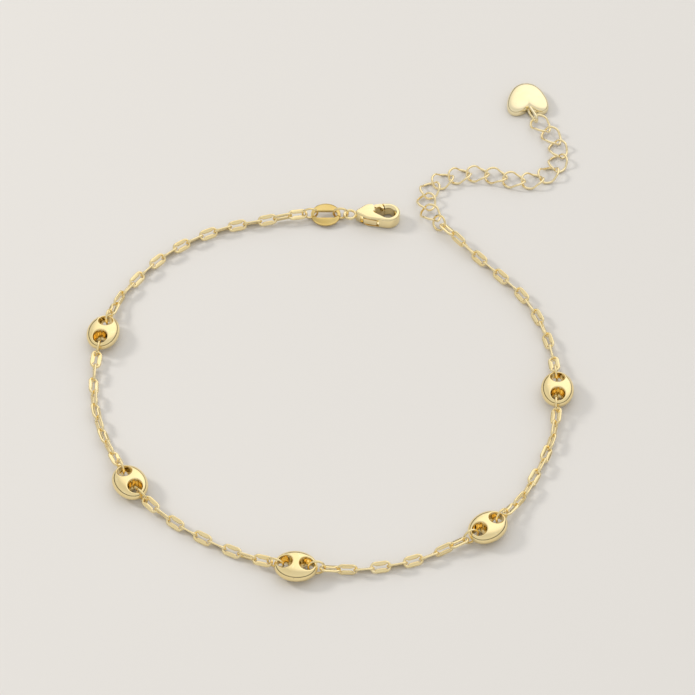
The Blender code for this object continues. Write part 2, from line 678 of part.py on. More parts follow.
def centre_on_origin():
    """Move the whole anklet so that the middle of its outline is over the origin."""
    bpy.context.view_layer.update()
    graph = bpy.context.evaluated_depsgraph_get()
    corners = []
    for piece in PARTS.objects:
        evaluated = piece.evaluated_get(graph)
        corners += [piece.matrix_world @ vertex.co for vertex in evaluated.data.vertices]
    low = Vector(min(c[axis] for c in corners) for axis in range(3))
    high = Vector(max(c[axis] for c in corners) for axis in range(3))
    ANKLET.location = (-(low.x + high.x) / 2, -(low.y + high.y) / 2, -low.z)
    bpy.context.view_layer.update()


clear_scene()
PARTS = new_collection("chain_anklet")
CUTTERS = new_collection("cutters")
ANKLET = bpy.data.objects.new("anklet", None)
bpy.context.scene.collection.objects.link(ANKLET)

LINKS = link_mesh()
RINGS = torus_mesh("jump_ring", JUMP_RING_RADIUS, JUMP_RING_WIRE, JUMP_RING_STEPS, WIRE_SIDES)
RING_GOLD = polished("jump_ring_gold", (0.84, 0.62, 0.25), 0.16)
RINGS.materials.append(RING_GOLD)

LINE = Route(ROUTE)
TAG_RING, FIRST_LINK = place_head(LINE)
FIRSTS, BEADS, LAST_LINK = plan_beads(FIRST_LINK)
JOINING = LAST_LINK + RING_TO_LINK
FIRST_CURB = JOINING + RING_TO_CURB
LAST_CURB = FIRST_CURB + (CURB_COUNT - 1) * CURB_PITCH
LINE.lifts = [(s, BEAD_THICKNESS / 2 - CHAIN_HEIGHT) for s in BEADS]
LINE.lifts += [(TAG_RING, RING_LIFT), (JOINING, RING_LIFT)]
LINE.settles = [
    (JOINING, CURB_HEIGHT - CHAIN_HEIGHT),
    (LAST_CURB + CURB_RADIUS - SETTLE_REACH, EYELET_HEIGHT / 2 - CURB_HEIGHT),
]
place_chain(LINE, FIRSTS, BEADS)
place_extender(LINE, JOINING, FIRST_CURB)
place_heart(LINE, LAST_CURB)
centre_on_origin()
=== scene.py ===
import math

import bmesh
import bpy
import numpy as np
from mathutils import Matrix, Vector


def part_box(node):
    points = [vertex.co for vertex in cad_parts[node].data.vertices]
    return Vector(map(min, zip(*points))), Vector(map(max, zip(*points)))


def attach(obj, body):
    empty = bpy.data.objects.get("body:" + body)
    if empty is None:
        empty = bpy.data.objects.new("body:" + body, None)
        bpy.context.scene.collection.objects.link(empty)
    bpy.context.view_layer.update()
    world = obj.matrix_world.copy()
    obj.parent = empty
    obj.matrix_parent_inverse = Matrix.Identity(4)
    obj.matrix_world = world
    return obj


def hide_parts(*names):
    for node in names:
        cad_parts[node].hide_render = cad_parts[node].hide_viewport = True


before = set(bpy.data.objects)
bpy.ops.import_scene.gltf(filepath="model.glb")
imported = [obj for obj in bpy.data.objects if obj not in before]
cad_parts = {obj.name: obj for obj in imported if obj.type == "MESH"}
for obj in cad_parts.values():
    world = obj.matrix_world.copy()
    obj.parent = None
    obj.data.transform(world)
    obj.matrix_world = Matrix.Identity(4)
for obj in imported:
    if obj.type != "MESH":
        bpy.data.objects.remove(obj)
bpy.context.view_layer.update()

MM = 0.001

# Sizes and places of the solids. Leans, turns and headings are in degrees.
LINK_LENGTH, LINK_WIDTH, LINK_WIRE = 3.65 * MM, 2.0 * MM, 0.475 * MM
LINK_BEDDING = 0.1 * MM
LINK_LEANS, ROLL_AT_RING, ROLL_LINKS = (42.0, 120.0), (-22.0, 36.0), 3
BEAD_LENGTH, BEAD_WIDTH, BEAD_THICKNESS = 7.3 * MM, 5.7 * MM, 3.2 * MM
BEAD_HOLE_RADIUS, BEAD_RIM = 1.25 * MM, 0.55 * MM
JUMP_RING_DIAMETER, JUMP_RING_WIRE, JUMP_RING_LEANS = 3.1 * MM, 0.4 * MM, (97.0, 80.0)
JOINING_RING_LEAN = 60.0
CURB_LENGTH, CURB_WIDTH, CURB_WIRE = 4.5 * MM, 3.75 * MM, 0.42 * MM
CURB_TWIST, CURB_STEEPNESS, CURB_PITCH, CURB_COUNT = 0.5 * MM, 1.4, 3.4 * MM, 14
HEART_WIDTH, HEART_HEIGHT, HEART_THICKNESS, HEART_HEADING = 7.8 * MM, 7.6 * MM, 1.9 * MM, 93.0
EYELET_LENGTH, EYELET_HEIGHT, EYELET_WIRE = 4.0 * MM, 2.2 * MM, 0.5 * MM
EYELET_SEAT, EYELET_TURN = 0.25 * MM, 22.0
HEART_POINT, HEART_CLEFT, HEART_WAVES = 1.1, 0.3, (13.0, -4.0, -1.5, -0.5)
TAG_LENGTH, TAG_WIDTH, TAG_THICKNESS, TAG_END_WALL = 5.4 * MM, 4.6 * MM, 0.6 * MM, 0.6 * MM
TAG_SLOT_WIDTH, TAG_RING_REACH, TAG_LEAN = 1.3 * MM, 0.15 * MM, 12.0
CLASP_RING_DIAMETER, CLASP_RING_WIRE, CLASP_RING_REACH = 3.0 * MM, 0.45 * MM, 0.7 * MM
CLASP_LENGTH, CLASP_WIDTH, CLASP_THICKNESS = 7.8 * MM, 4.3 * MM, 2.4 * MM
CLASP_HOOK_WALL, CLASP_EDGE, CLASP_SLOT, CLASP_TAIL_BLOCK = 0.95 * MM, 0.4 * MM, 1.65 * MM, 0.75 * MM
CLASP_EYELET_DIAMETER, CLASP_EYELET_WIRE, CLASP_HEADING_OFFSET = 2.5 * MM, 0.5 * MM, -1.5
PIN_RADIUS, PIN_CLEARANCE = 0.4 * MM, 0.08 * MM
CLEARANCE, RING_SLACK = 0.1 * MM, 0.15 * MM

# The clasp's outlines: x, y and radius, x as a share of its length, the others of its width
CLASP_PIN = (0.29, 0.075)
CLASP_CHEEKS = (0.32, 0.085, 0.43)
CLASP_TAIL = (0.046, 0.0, 0.134)
CLASP_HOOK_RISE = 0.11
CLASP_MOUTH_POINT = (0.46, 0.11, 0.06)
CLASP_GATE = ((0.45, 0.175, 0.047), (0.352, 0.605, 0.08), (0.77, 0.605, 0.08), (0.77, 0.175, 0.047))
CLASP_SLOT_END = 0.54
LEVER_HUB_RADIUS = 0.25
LEVER_ARM = ((0.417, 0.42, 0.077), (0.526, 0.477, 0.077))
LEVER_ARM_ROOT = (0.35, 0.31, 0.093)
LEVER_TAB = ((0.205, -0.23, 0.077), (0.46, -0.295, 0.07), (0.31, -0.07, 0.09))

# Details that the solids show only roughly
BEAD_CROWN = 1.5 * MM            # rise of a bead's upper face over its middle plane
BEAD_FULLNESS = 1.6              # 1 is an ellipsoid, more is flatter on top and steeper at the rim
BEAD_LIP = 0.26 * MM             # rounding of a hole's edge
BEAD_LIP_SHARE = 0.3             # share of the steps outwards that the rounding takes
BEAD_WAIST = 0.52 * MM           # how far a hole narrows inside
BEAD_FUNNEL = (                  # height as a share of the wall's, and share of the waist there
    (-0.92, 0.0), (-0.8, 0.75), (-0.6, 1.0), (-0.3, 0.85), (0.0, 0.6), (0.3, 0.36), (0.6, 0.14), (0.85, 0.0),
)
RING_CUT = 0.03                  # slit in a jump ring, in radians
CURB_SNAP = 1.25                 # how much sooner than in the solids the twist reaches its height
CLASP_FLARE = 0.4 * MM           # widening of the hook's mouth at both faces
CLASP_FLARE_SEAT = 0.46          # how deep the widening is let in, as a share of its own height
CAST_ROUNDING = 0.055 * MM
LEVER_ROUNDING = 0.05 * MM
LEVER_THICKNESS = 1.2 * MM
LEVER_ARM_THICKNESS = 1.9 * MM
LEVER_FOOT = (0.592, 0.349, 0.0465)      # blunt end of the arm, on the clasp's outline
OUTER_EDGE_ANGLE, OUTER_EDGE_SEGMENTS = 60.0, 5   # edges sharper than the angle are rounded
CUT_EDGE_ANGLE, CUT_EDGE_SEGMENTS = 38.0, 2
CLEFT_REACH = 0.08               # half width of the heart's cleft, as a share of the heart's width

# How fine the pieces are
WIRE_SIDES, RING_STEPS, CURB_STEPS, EYELET_STEPS, EYELET_SIDES = 12, 56, 72, 56, 14
HEART_COARSE_STEPS, HEART_STEPS, TAG_STEPS = 26, 112, 112   # the coarse outline is the solid's
OUTLINE_STEPS, MOUTH_STEPS, HUB_STEPS, PIN_STEPS, CORNER_STEPS = 72, 64, 48, 32, 24
MERGE_DISTANCE, ROUNDING_ERROR = 3e-6, 1e-9
SHARP_ANGLE, CLASP_SHARP_ANGLE, LINK_SHARP_ANGLE = 35.0, 30.0, 50.0

# Points along the middle of the chain, from the clasp to the heart, in mm
ROUTE = (
    (9.45, 29.65), (1.9, 30.3), (-4.0, 30.5), (-9.4, 30.2), (-14.7, 29.2), (-20.4, 27.9), (-25.5, 25.8),
    (-30.1, 22.9), (-34.2, 19.2), (-37.6, 14.9), (-40.5, 10.2), (-42.8, 2.1), (-43.8, -4.1), (-43.9, -9.5),
    (-43.2, -15.0), (-41.6, -20.5), (-39.3, -25.7), (-36.4, -31.3), (-32.8, -35.5), (-28.6, -39.1),
    (-23.9, -42.2), (-18.9, -44.9), (-13.9, -47.0), (-8.4, -48.4), (0.0, -48.6), (5.5, -48.0),
    (10.7, -46.8), (15.8, -44.6), (23.2, -40.5), (28.7, -34.5), (31.5, -29.4), (33.8, -24.2),
    (35.4, -18.8), (36.2, -11.0), (35.9, -4.6), (35.1, 1.0), (33.3, 6.7), (30.6, 11.8), (27.0, 16.2),
    (23.3, 20.5), (19.6, 24.9), (16.2, 28.7), (14.7, 31.3), (14.3, 34.3), (15.1, 37.2), (17.3, 39.4),
    (20.3, 40.6), (23.6, 41.0), (26.9, 40.5), (30.1, 39.5), (33.4, 39.3), (36.6, 40.8), (38.6, 43.6),
    (38.9, 47.1), (37.8, 50.5), (35.5, 53.9), (33.6, 57.9),
)
# Name, links, whether the first lies flat, the side it leans to; in mm: gap before, gap after, slack per link
STRETCHES = (
    ("chain_a", 16, True, -1, 0.0, 0.30, -0.02),
    ("chain_b", 9, True, -1, 0.36, 0.36, 0.04),
    ("chain_c", 9, True, 1, 0.12, 0.12, 0.0),
    ("chain_d", 9, False, 1, 0.10, 0.10, -0.02),
    ("chain_e", 9, False, 1, 0.05, 0.05, -0.05),
    ("chain_f", 14, True, -1, 0.36, 0.0, 0.05),
)
LIFT_REACH, RING_LIFT, SETTLE_REACH = 12.0 * MM, 0.6 * MM, 7.0 * MM

LINK_PITCH = LINK_LENGTH - 2 * LINK_WIRE + LINK_BEDDING
LINK_END = LINK_LENGTH / 2 - LINK_WIRE / 2
CHAIN_HEIGHT = LINK_WIDTH / 2 * math.sin(math.radians(LINK_LEANS[1]))
JUMP_RING_RADIUS = JUMP_RING_DIAMETER / 2 - JUMP_RING_WIRE / 2
CLASP_RING_RADIUS = CLASP_RING_DIAMETER / 2 - CLASP_RING_WIRE / 2
CURB_RADIUS = CURB_LENGTH / 2 - CURB_WIRE / 2
CURB_HEIGHT = CURB_TWIST + CURB_WIRE / 2
BEAD_TO_LINK = BEAD_LENGTH / 2 + LINK_LENGTH / 2 + CLEARANCE
RING_REACH = JUMP_RING_DIAMETER / 2 - JUMP_RING_WIRE - RING_SLACK - CLEARANCE
RING_TO_LINK = RING_REACH - LINK_WIRE / 2 + LINK_END
RING_TO_CURB = RING_REACH - CURB_WIRE / 2 + CURB_RADIUS
TAG_HEIGHT = CLASP_RING_WIRE + TAG_THICKNESS
TAG_SLOT_LENGTH = TAG_LENGTH - 2 * TAG_END_WALL


# Materials

CLOUD_SCALE, HAZE_SCALE, WAVE_SCALE, GRAIN_SCALE = 260.0, 1400.0, 700.0, 6.0   # features per metre
CLOUD_FROM, CLOUD_TO = 0.3, 0.68
MARK_SCALE, MARK_TURN = (9000.0, 1500.0, 4000.0), (0.2, 0.3, 0.7)
MARK_STRENGTH, MARK_DEPTH, WAVE_DEPTH = 0.05, 0.015 * MM, 0.03 * MM
WORN_FROM, WORN_TO, WORN_SHARE = 0.51, 0.62, 0.45   # pointiness of an edge, and how far it turns paler
WORN_PALENESS = (1.06, 1.1, 1.3)
HAZE_SPREAD = (0.7, 1.4)         # roughness from clear to hazy, as shares of the usual
FLOOR_ROUGHNESS = 0.6


def noise(tree, place, scale, detail):
    texture = tree.nodes.new("ShaderNodeTexNoise")
    texture.inputs["Scale"].default_value = scale
    texture.inputs["Detail"].default_value = detail
    tree.links.new(place, texture.inputs["Vector"])
    return texture.outputs["Fac"]


def ramp(tree, value, stops):
    """Colours laid out along a value: a position and a colour at each stop."""
    colours = tree.nodes.new("ShaderNodeValToRGB")
    for position, _ in stops[1:-1]:
        colours.color_ramp.elements.new(position)
    for element, (position, colour) in zip(colours.color_ramp.elements, stops):
        element.position = position
        element.color = (*colour, 1.0)
    tree.links.new(value, colours.inputs["Fac"])
    return colours.outputs["Color"]


def bump(tree, height, strength, depth):
    relief = tree.nodes.new("ShaderNodeBump")
    relief.inputs["Strength"].default_value = strength
    relief.inputs["Distance"].default_value = depth
    tree.links.new(height, relief.inputs["Height"])
    return relief


def gold(name, light, deep, roughness, polish, brushed=0.0):
    """Plated gold: cloudy colour, fine polishing marks, a slight waviness and brighter worn edges."""
    finish = bpy.data.materials.new(name)
    finish.use_nodes = True
    tree = finish.node_tree
    shader = tree.nodes["Principled BSDF"]
    shader.inputs["Metallic"].default_value = 1.0
    place = tree.nodes.new("ShaderNodeTexCoord").outputs["Object"]

    tint = ramp(tree, noise(tree, place, CLOUD_SCALE, 4.0), ((CLOUD_FROM, deep), (CLOUD_TO, light)))
    pointiness = tree.nodes.new("ShaderNodeNewGeometry").outputs["Pointiness"]
    worn = ramp(tree, pointiness, ((WORN_FROM, (0.0,) * 3), (WORN_TO, (WORN_SHARE,) * 3)))
    paler = tree.nodes.new("ShaderNodeMix")
    paler.data_type = "RGBA"
    pale = [min(share * gain, 1.0) for share, gain in zip(light, WORN_PALENESS)]
    paler.inputs["B"].default_value = (*pale, 1.0)
    tree.links.new(worn, paler.inputs["Factor"])
    tree.links.new(tint, paler.inputs["A"])
    tree.links.new(paler.outputs["Result"], shader.inputs["Base Color"])

    spread = tree.nodes.new("ShaderNodeMapRange")
    spread.inputs["To Min"].default_value = roughness * HAZE_SPREAD[0]
    spread.inputs["To Max"].default_value = roughness * HAZE_SPREAD[1]
    tree.links.new(noise(tree, place, HAZE_SCALE, 5.0), spread.inputs["Value"])
    tree.links.new(spread.outputs["Result"], shader.inputs["Roughness"])

    stretch = tree.nodes.new("ShaderNodeMapping")
    stretch.inputs["Rotation"].default_value = MARK_TURN
    stretch.inputs["Scale"].default_value = MARK_SCALE
    tree.links.new(place, stretch.inputs["Vector"])
    soft = bump(tree, noise(tree, place, WAVE_SCALE, 1.0), polish, WAVE_DEPTH)
    marks = noise(tree, stretch.outputs["Vector"], 1.0, 2.0)
    fine = bump(tree, marks, MARK_STRENGTH + brushed, MARK_DEPTH)
    tree.links.new(soft.outputs["Normal"], fine.inputs["Normal"])
    tree.links.new(fine.outputs["Normal"], shader.inputs["Normal"])
    return finish


GOLD = {  # lighter and deeper colour, roughness, waviness, and strength of marks beyond the usual
    "chain_gold": gold("chain_gold", (0.97, 0.81, 0.46), (0.93, 0.75, 0.38), 0.13, 0.35, 0.04),
    "bead_gold": gold("bead_gold", (0.97, 0.81, 0.45), (0.94, 0.76, 0.38), 0.07, 0.22),
    "ring_gold": gold("ring_gold", (0.96, 0.80, 0.45), (0.91, 0.73, 0.36), 0.12, 0.3),
    "extender_gold": gold("extender_gold", (0.97, 0.82, 0.49), (0.93, 0.76, 0.41), 0.12, 0.35),
    "clasp_gold": gold("clasp_gold", (0.97, 0.83, 0.49), (0.94, 0.78, 0.42), 0.10, 0.25),
    "lever_gold": gold("lever_gold", (0.95, 0.78, 0.42), (0.90, 0.72, 0.35), 0.13, 0.25),
    # The tag's darker, deeper gold is painted shade: it stands for the dark reflections on its lower band,
    # not a different metal.
    "tag_gold": gold("tag_gold", (0.74, 0.56, 0.22), (0.66, 0.47, 0.15), 0.13, 0.25, 0.08),
    # The heart's paler, whiter gold is a painted highlight: it stands for the bright sheen on its dome, not a
    # different metal.
    "heart_gold": gold("heart_gold", (0.97, 0.86, 0.57), (0.95, 0.82, 0.49), 0.08, 0.2),
}


# The route and frames along it

class Route:
    """A smooth line through the points, with rises at lifts and lasting changes of height at settles."""

    def __init__(self, points, per_span=24):
        self.lifts = []
        self.settles = []
        given = np.array(points, dtype=float) * MM
        full = np.vstack([2 * given[0] - given[1], given, 2 * given[-1] - given[-2]])
        dense = []
        for i in range(1, len(full) - 2):
            before, start, end, after = full[i - 1:i + 3]
            for step in range(per_span):
                t = step / per_span
                dense.append(0.5 * (
                    2 * start + (end - before) * t
                    + (2 * before - 5 * start + 4 * end - after) * t ** 2
                    + (3 * start - before - 3 * end + after) * t ** 3
                ))
        dense.append(full[-2])
        self.points = np.array(dense)
        steps = np.linalg.norm(np.diff(self.points, axis=0), axis=1)
        self.along = np.concatenate([[0.0], np.cumsum(steps)])

    def flat(self, s):
        if s < 0:
            heading = self.points[0] - self.points[1]
            return self.points[0] + heading / np.linalg.norm(heading) * -s
        if s > self.along[-1]:
            heading = self.points[-1] - self.points[-2]
            return self.points[-1] + heading / np.linalg.norm(heading) * (s - self.along[-1])
        return np.array([np.interp(s, self.along, self.points[:, axis]) for axis in (0, 1)])

    def at(self, s):
        x, y = self.flat(s)
        return Vector((x, y, self.height(s)))

    def height(self, s):
        level = CHAIN_HEIGHT
        for centre, rise in self.lifts:
            share = min(abs(s - centre) / LIFT_REACH, 1.0)
            level += rise * 0.5 * (1 + math.cos(math.pi * share))
        for start, change in self.settles:
            share = min(max((s - start) / SETTLE_REACH, 0.0), 1.0)
            level += change * share * share * (3 - 2 * share)
        return level

    def frame(self, s, lean=0.0, reach=0.5 * MM, level=False):
        """A place on the line with X ahead and Y to the left, leaned about X."""
        ahead = self.at(s + reach) - self.at(s - reach)
        if level:
            ahead.z = 0.0
        ahead.normalize()
        left = Vector((-ahead.y, ahead.x, 0.0)).normalized()
        turn = Matrix((ahead, left, ahead.cross(left))).transposed().to_4x4()
        return Matrix.Translation(self.at(s)) @ turn @ Matrix.Rotation(math.radians(lean), 4, "X")


# Meshes

def finished(name, shape, slot, body="anklet", stands_for=None, sharp=SHARP_ANGLE):
    """A piece in the frame, shaded, riding on its body and standing for its solid."""
    mesh = bpy.data.meshes.new(name)
    shape.to_mesh(mesh)
    shape.free()
    mesh.materials.append(GOLD[slot])
    mesh.shade_smooth()
    mesh.set_sharp_from_angle(angle=math.radians(sharp))
    piece = bpy.data.objects.new(name, mesh)
    bpy.context.scene.collection.objects.link(piece)
    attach(piece, body)
    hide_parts(stands_for)
    return piece


def swept(shape, stations, closed=True, caps=False):
    """Rings of points joined one to the next."""
    rings = [[shape.verts.new(point) for point in ring] for ring in stations]
    count = len(rings[0])
    pairs = list(zip(rings, rings[1:]))
    if closed:
        pairs.append((rings[-1], rings[0]))
    for one, two in pairs:
        for i in range(count):
            j = (i + 1) % count
            shape.faces.new((one[i], one[j], two[j], two[i]))
    if caps:
        shape.faces.new(reversed(rings[0]))
        shape.faces.new(rings[-1])
    return rings


def wire_station(centre, out, up, half_out, half_up, sides=WIRE_SIDES, power=2.0):
    """Points around the wire: an ellipse at power 2, squarer above it."""
    ring = []
    for i in range(sides):
        turn = 2 * math.pi * (i + 0.5) / sides
        c, s = math.cos(turn), math.sin(turn)
        a = math.copysign(abs(c) ** (2 / power), c)
        b = math.copysign(abs(s) ** (2 / power), s)
        ring.append(centre + out * (a * half_out) + up * (b * half_up))
    return ring


def oval_wire(shape, along, across, wire, place, steps=RING_STEPS, sides=WIRE_SIDES, lift=None, gap=0.0):
    """A bent wire ring; with a gap it is cut and keeps two flat ends."""
    stations = []
    total = steps + (1 if gap else 0)
    for i in range(total):
        turn = gap / 2 + (2 * math.pi - gap) * i / steps
        c, s = math.cos(turn), math.sin(turn)
        centre = Vector((along * c, across * s, lift(turn) if lift else 0.0))
        out = Vector((c / along, s / across, 0.0)).normalized()
        ring = wire_station(centre, out, Vector((0, 0, 1)), wire / 2, wire / 2, sides)
        stations.append([place @ point for point in ring])
    swept(shape, stations, closed=not gap, caps=bool(gap))


def jump_ring(name, place, radius, wire, stands_for):
    shape = bmesh.new()
    oval_wire(shape, radius, radius, wire, place, gap=RING_CUT)
    finished(name, shape, "ring_gold", stands_for=stands_for)


LINK_QUARTER = (  # stations: x and y of the wire's middle, half width and half thickness in mm, squareness
    (0.0, 0.600, 0.395, 0.160, 3.6),
    (0.40, 0.602, 0.393, 0.162, 3.6),
    (0.70, 0.610, 0.387, 0.166, 3.5),
    (0.80, 0.625, 0.372, 0.175, 3.3),
    (0.90, 0.648, 0.337, 0.194, 2.9),
    (1.02, 0.672, 0.290, 0.216, 2.5),
)
LINK_END_TURNS = (66, 54, 42, 30, 18, 6)


def link_stations():
    """One link around its middle: pressed long sides that run into round ends."""
    end_radius = (LINK_WIDTH / 2 - LINK_WIRE / 2) / MM
    straight = (LINK_LENGTH - LINK_WIDTH) / 2 / MM
    quarter = []
    for x, y, half_out, half_up, power in LINK_QUARTER:
        quarter.append((x, y, Vector((0, 1, 0)), half_out, half_up, power))
    for turn in LINK_END_TURNS:
        t = math.radians(turn)
        out = Vector((math.cos(t), math.sin(t), 0))
        x, y = straight + end_radius * out.x, end_radius * out.y
        quarter.append((x, y, out, LINK_WIRE / 2 / MM, LINK_WIRE / 2 / MM, 2.0))
    half = quarter + [(x, -y, Vector((o.x, -o.y, 0)), a, b, p) for x, y, o, a, b, p in reversed(quarter)]
    whole = half + [(-x, y, Vector((-o.x, o.y, 0)), a, b, p) for x, y, o, a, b, p in reversed(half)]
    stations, seen = [], set()
    for x, y, out, half_out, half_up, power in whole:
        key = (round(x, 4) + 0.0, round(y, 4))
        if key in seen:
            continue
        seen.add(key)
        stations.append(wire_station(
            Vector((x, y, 0)) * MM, out, Vector((0, 0, 1)), half_out * MM, half_up * MM, power=power))
    return stations


def last_is_flat(count, flat_first):
    return flat_first == (count % 2 == 1)


def roll_at(index, count, flat_first):
    """Degrees that a link rolls near either end of its stretch."""
    roll = 0.0
    for steps, flat in ((index, flat_first), (count - 1 - index, last_is_flat(count, flat_first))):
        fade = 0.5 * (1 + math.cos(math.pi * min(steps / ROLL_LINKS, 1.0)))
        roll += ROLL_AT_RING[0 if flat else 1] * fade
    return roll


def bead_height(x, y):
    """Height of the bead's upper face over its middle plane: flat on top and steep at the rim."""
    rho = (2 * x / BEAD_LENGTH) ** 2 + (2 * y / BEAD_WIDTH) ** 2
    return BEAD_CROWN * math.sqrt(max(0.0, 1 - rho ** BEAD_FULLNESS))


def bead_shape(place, angles=60, bar_steps=32, out_steps=20):
    """Puffed oval with two holes: a fan of profiles around each hole, meeting along the bar."""
    half_l, half_w = BEAD_LENGTH / 2, BEAD_WIDTH / 2
    offset = half_l - BEAD_RIM - BEAD_HOLE_RADIUS
    corner = math.atan2(half_w, -offset)
    shape = bmesh.new()
    turns = [corner * math.sin(0.5 * math.pi * (2 * i / angles - 1)) for i in range(angles)]
    for i in range(bar_steps):
        y = half_w * math.sin(0.5 * math.pi * (1 - 2 * i / bar_steps))
        turns.append(math.atan2(y, -offset) % (2 * math.pi))
    for side in (1, -1):
        columns = []
        for turn in turns:
            c, s = math.cos(turn), math.sin(turn)
            a = (c / half_l) ** 2 + (s / half_w) ** 2
            b = 2 * offset * c / half_l ** 2
            k = (offset / half_l) ** 2 - 1
            reach = (-b + math.sqrt(b * b - 4 * a * k)) / (2 * a)
            on_bar = c < 0 and offset / -c < reach - ROUNDING_ERROR
            if on_bar:
                reach = offset / -c
            top = []
            for i in range(out_steps + 1):
                t = i / out_steps
                near = BEAD_LIP * (1 - math.cos(0.5 * math.pi * min(t / BEAD_LIP_SHARE, 1.0)))
                far = max(0.0, (t - BEAD_LIP_SHARE) / (1 - BEAD_LIP_SHARE))
                far = far if on_bar else 1 - (1 - far) ** 2
                r = BEAD_HOLE_RADIUS + near + (reach - BEAD_HOLE_RADIUS - BEAD_LIP) * far
                x, y = offset + r * c, r * s
                z = bead_height(x, y)
                depth = 1 - min((r - BEAD_HOLE_RADIUS) / BEAD_LIP, 1.0)
                z -= min(z * 0.5, BEAD_LIP * (1 - math.sqrt(1 - depth * depth)))
                top.append(Vector((side * x, side * y, z)))
            wall = top[0].z
            inner = []
            for q, share in BEAD_FUNNEL:
                r = BEAD_HOLE_RADIUS - BEAD_WAIST * (1 - max(0.0, c) ** 2) * share
                inner.append(Vector((side * (offset + r * c), side * r * s, wall * q)))
            lower = [Vector((p.x, p.y, -p.z)) for p in reversed(top)]
            columns.append([shape.verts.new(place @ p) for p in lower + inner + top])
        for one, two in zip(columns, columns[1:] + columns[:1]):
            for j in range(len(one) - 1):
                shape.faces.new((one[j], one[j + 1], two[j + 1], two[j]))
    bmesh.ops.remove_doubles(shape, verts=shape.verts, dist=MERGE_DISTANCE)
    bmesh.ops.recalc_face_normals(shape, faces=shape.faces)
    return shape


def heart_outline(steps):
    """The heart's outline of no particular size, its point towards +Y."""
    points = []
    for i in range(steps):
        t = 2 * math.pi * (i + 0.5) / steps
        round_off = (HEART_POINT + HEART_CLEFT) / 2 - (HEART_POINT - HEART_CLEFT) / 2 * math.cos(t)
        x = math.sin(t) * (round_off + (1 - round_off) * math.sin(t) ** 2)
        y = sum(share * math.cos((n + 1) * t) for n, share in enumerate(HEART_WAVES))
        points.append((x, -y))
    return points


def heart_points(steps):
    """The outline at the solid's size, measured on the solid's own coarse outline."""
    coarse = heart_outline(HEART_COARSE_STEPS)
    xs, ys = zip(*coarse)
    wide, tall, middle = max(xs) - min(xs), max(ys) - min(ys), (max(ys) + min(ys)) / 2
    return [(x / wide * HEART_WIDTH, (y - middle) / tall * HEART_HEIGHT) for x, y in heart_outline(steps)]


HEART_ROWS = (  # from the back over the dome: share of the outline, share of the thickness
    (0.90, 0.0), (0.94, 0.0), (0.965, 0.03), (0.985, 0.09), (0.995, 0.17), (0.997, 0.28), (0.993, 0.42),
    (0.985, 0.54), (0.965, 0.64), (0.93, 0.73), (0.88, 0.80), (0.81, 0.86), (0.72, 0.91), (0.61, 0.945),
    (0.48, 0.97), (0.34, 0.985), (0.2, 0.993), (0.08, 0.997),
)


def heart_shape(place):
    """Domed heart with its upright eyelet in the cleft; also the eyelet's middle."""
    coarse = heart_points(HEART_COARSE_STEPS)
    outline = heart_points(HEART_STEPS)
    shape = bmesh.new()
    rows = []
    for share, level in HEART_ROWS:
        rows.append([shape.verts.new(place @ Vector((x * share, y * share, level * HEART_THICKNESS)))
                     for x, y in outline])
    for lower, upper in zip(rows, rows[1:]):
        for i in range(len(outline)):
            j = (i + 1) % len(outline)
            shape.faces.new((lower[i], lower[j], upper[j], upper[i]))
    shape.faces.new(reversed(rows[0]))
    shape.faces.new(rows[-1])
    cleft = max(y for x, y in coarse if abs(x) < HEART_WIDTH * CLEFT_REACH and y < 0)
    turn = math.radians(EYELET_TURN)
    away = EYELET_LENGTH / 2 - EYELET_SEAT
    middle = Vector((away * math.sin(turn), cleft - away * math.cos(turn), EYELET_HEIGHT / 2))
    upright = Matrix.Rotation(math.radians(90) + turn, 4, "Z") @ Matrix.Rotation(math.radians(90), 4, "X")
    straight = (EYELET_LENGTH - EYELET_HEIGHT) / 2
    radius = EYELET_HEIGHT / 2 - EYELET_WIRE / 2
    stations = []
    for i in range(EYELET_STEPS):
        t = 2 * math.pi * (i + 0.5) / EYELET_STEPS
        c, s = math.cos(t), math.sin(t)
        centre = Vector((radius * c + math.copysign(straight, c), radius * s, 0))
        ring = wire_station(
            centre, Vector((c, s, 0)), Vector((0, 0, 1)), EYELET_WIRE / 2, EYELET_WIRE / 2, EYELET_SIDES)
        stations.append([place @ Matrix.Translation(middle) @ upright @ p for p in ring])
    swept(shape, stations)
    return shape, middle


TAG_ROWS = (  # from the slot's wall to the edge: share of the way, share of half the thickness
    (0.0, 0.62), (0.03, 0.86), (0.07, 0.97), (0.16, 0.98), (0.30, 0.90), (0.46, 0.76), (0.62, 0.62),
    (0.76, 0.50), (0.84, 0.45), (0.885, 0.46), (0.91, 0.58), (0.95, 0.62), (0.985, 0.52), (1.0, 0.25),
)
TAG_FAN = 0.82  # how closely the rows' starts along the slot follow their ends on the edge


def tag_shape(place, angles=TAG_STEPS):
    """Oval plate with a long slot: rows from the slot's wall over the face to a thin raised rim."""
    radius = TAG_SLOT_WIDTH / 2
    reach = TAG_SLOT_LENGTH / 2 - radius
    half_l, half_w, half_t = TAG_LENGTH / 2, TAG_WIDTH / 2, TAG_THICKNESS / 2
    shape = bmesh.new()
    columns = []
    for i in range(angles):
        t = 2 * math.pi * i / angles
        ox, oy = half_l * math.cos(t), half_w * math.sin(t)
        ax = max(-reach, min(reach, ox * TAG_FAN))
        heading = Vector((ox - ax, oy, 0)).normalized()
        inner = Vector((ax, 0, 0)) + heading * radius
        if abs(ax) < reach:
            inner = Vector((ax, math.copysign(radius, oy), 0))
        outer = Vector((ox, oy, 0))
        top = [inner.lerp(outer, share) + Vector((0, 0, level * half_t)) for share, level in TAG_ROWS]
        bottom = [Vector((p.x, p.y, -p.z)) for p in reversed(top)]
        columns.append([shape.verts.new(place @ p) for p in bottom + top])
    count = len(columns[0])
    for i in range(angles):
        one, two = columns[i], columns[(i + 1) % angles]
        for j in range(count):
            k = (j + 1) % count
            shape.faces.new((one[j], one[k], two[k], two[j]))
    bmesh.ops.recalc_face_normals(shape, faces=shape.faces)
    return shape


# Clasp

